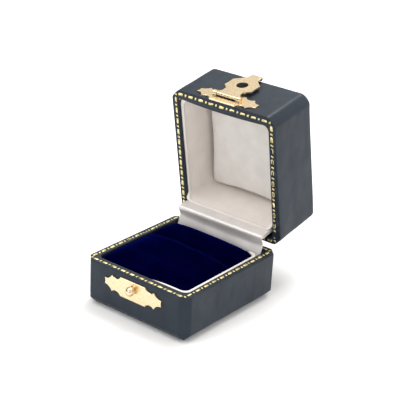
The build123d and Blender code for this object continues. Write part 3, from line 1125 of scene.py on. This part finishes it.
def hinge_ribbon():
    """One sheet of satin from under the lid's lining, over the flap, and down into the base."""
    path = soft_path(RIBBON_PATH, longest=0.5, steps=8)
    rows = []
    for number, (y, z) in enumerate(path):
        share = number / (len(path) - 1)
        loose = smooth(0.42, 0.6, share) * smooth(1.0, 0.85, share)
        row = []
        for column in range(RIBBON_COLUMNS + 1):
            x = mix(-SKIRT_HALF, SKIRT_HALF, column / RIBBON_COLUMNS)
            ripple = 0.22 * loose * noise.noise(Vector((x / 5.5, share * 5, 2.0)))
            ripple += 0.03 * noise.noise(Vector((x / 3, share * 9, 7.0)))
            row.append(Vector((x, y - ripple, z + ripple * 0.2)))
        rows.append(row)
    points = [point * MM for row in rows for point in row]
    for number, row in enumerate(rows):
        before = path[max(0, number - 1)]
        after = path[min(len(path) - 1, number + 1)]
        run = (after - before).normalized()
        inward = Vector((0, -run.y, run.x)) * -RIBBON
        points += [(point + inward) * MM for point in row]
    faces = slab_faces(len(rows), RIBBON_COLUMNS + 1)
    piece = made("hinge_satin_ribbon", points, faces, HINGE_SATIN)
    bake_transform(piece)
    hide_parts("hinge_ribbon")


# ---- studio ----
def studio_floor():
    steps = 12
    along = [mix(-FLOOR_HALF, FLOOR_HALF, step / steps) for step in range(steps + 1)]
    points = [(x, y, 0) for y in along for x in along]
    faces = []
    for row in range(steps):
        for column in range(steps):
            a = row * (steps + 1) + column
            faces.append((a, a + 1, a + steps + 2, a + steps + 1))
    floor = made("studio_floor", points, faces, floor_paint())


def softbox(name, azimuth, elevation, distance, size, power):
    """A square area light aimed at the box. Azimuth 0 stands at the front, 90 on the right."""
    lamp = bpy.data.lights.new(name, "AREA")
    lamp.shape = "SQUARE"
    lamp.size = size
    lamp.energy = power
    turn = math.radians(azimuth)
    rise = math.radians(elevation)
    flat = math.cos(rise)
    offset = Vector((math.sin(turn) * flat, -math.cos(turn) * flat, math.sin(rise)))
    light = bpy.data.objects.new(name, lamp)
    light.location = Vector(LIT_POINT) + offset * distance
    light.rotation_euler = offset.to_track_quat("Z", "Y").to_euler()
    bpy.context.scene.collection.objects.link(light)


def studio_backdrop():
    """A white surround, brightest behind the box on the right and dimmest by the camera."""
    world = bpy.data.worlds.new("studio")
    world.use_nodes = True
    nodes = world.node_tree.nodes
    links = world.node_tree.links
    direction = nodes.new("ShaderNodeTexCoord").outputs["Generated"]
    towards = nodes.new("ShaderNodeVectorMath")
    towards.operation = "DOT_PRODUCT"
    towards.inputs[1].default_value = Vector(BRIGHT_SIDE).normalized()
    links.new(direction, towards.inputs[0])
    level = nodes.new("ShaderNodeMapRange")
    level.inputs["From Min"].default_value = DIM_FROM
    level.inputs["To Min"].default_value = SURROUND_DIM
    level.inputs["To Max"].default_value = SURROUND_BRIGHT
    links.new(towards.outputs["Value"], level.inputs["Value"])
    links.new(level.outputs["Result"], nodes["Background"].inputs["Strength"])
    nodes["Background"].inputs["Color"].default_value = SURROUND_COLOUR
    bpy.context.scene.world = world


def studio_lights():
    studio_backdrop()
    for name, setting in SOFTBOXES.items():
        softbox(name, *setting)
    view = bpy.context.scene.view_settings
    view.view_transform = "Standard"
    view.look = "None"
    view.exposure = 0.0


def camera():
    azimuth = math.radians(CAMERA_AZIMUTH)
    elevation = math.radians(CAMERA_ELEVATION)
    roll = math.radians(CAMERA_ROLL)
    back = Vector((
        math.sin(azimuth) * math.cos(elevation),
        -math.cos(azimuth) * math.cos(elevation),
        math.sin(elevation),
    ))
    level = Vector((math.cos(azimuth), math.sin(azimuth), 0))
    upright = back.cross(level)
    right = level * math.cos(roll) + upright * math.sin(roll)
    up = upright * math.cos(roll) - level * math.sin(roll)
    eye = (Vector(CAMERA_TARGET) + back * CAMERA_DISTANCE) * MM
    data = bpy.data.cameras.new("camera")
    data.lens = CAMERA_LENS
    data.sensor_width = 36
    data.clip_start = 0.01
    seen = bpy.data.objects.new("camera", data)
    turn = Matrix((right, up, back)).transposed().to_4x4()
    seen.matrix_world = Matrix.Translation(eye) @ turn
    bpy.context.scene.collection.objects.link(seen)
    bpy.context.scene.camera = seen


camera()
studio_floor()
studio_lights()
finish_cad_nodes()
base_leather()
lid_leather()
tooling(base, 3)
tooling(lid, 8)
base_lining()
lid_lining()
slot_fold(front_roll())
rear_roll()
lid_cushion()
skirt_wrap()
hinge_ribbon()
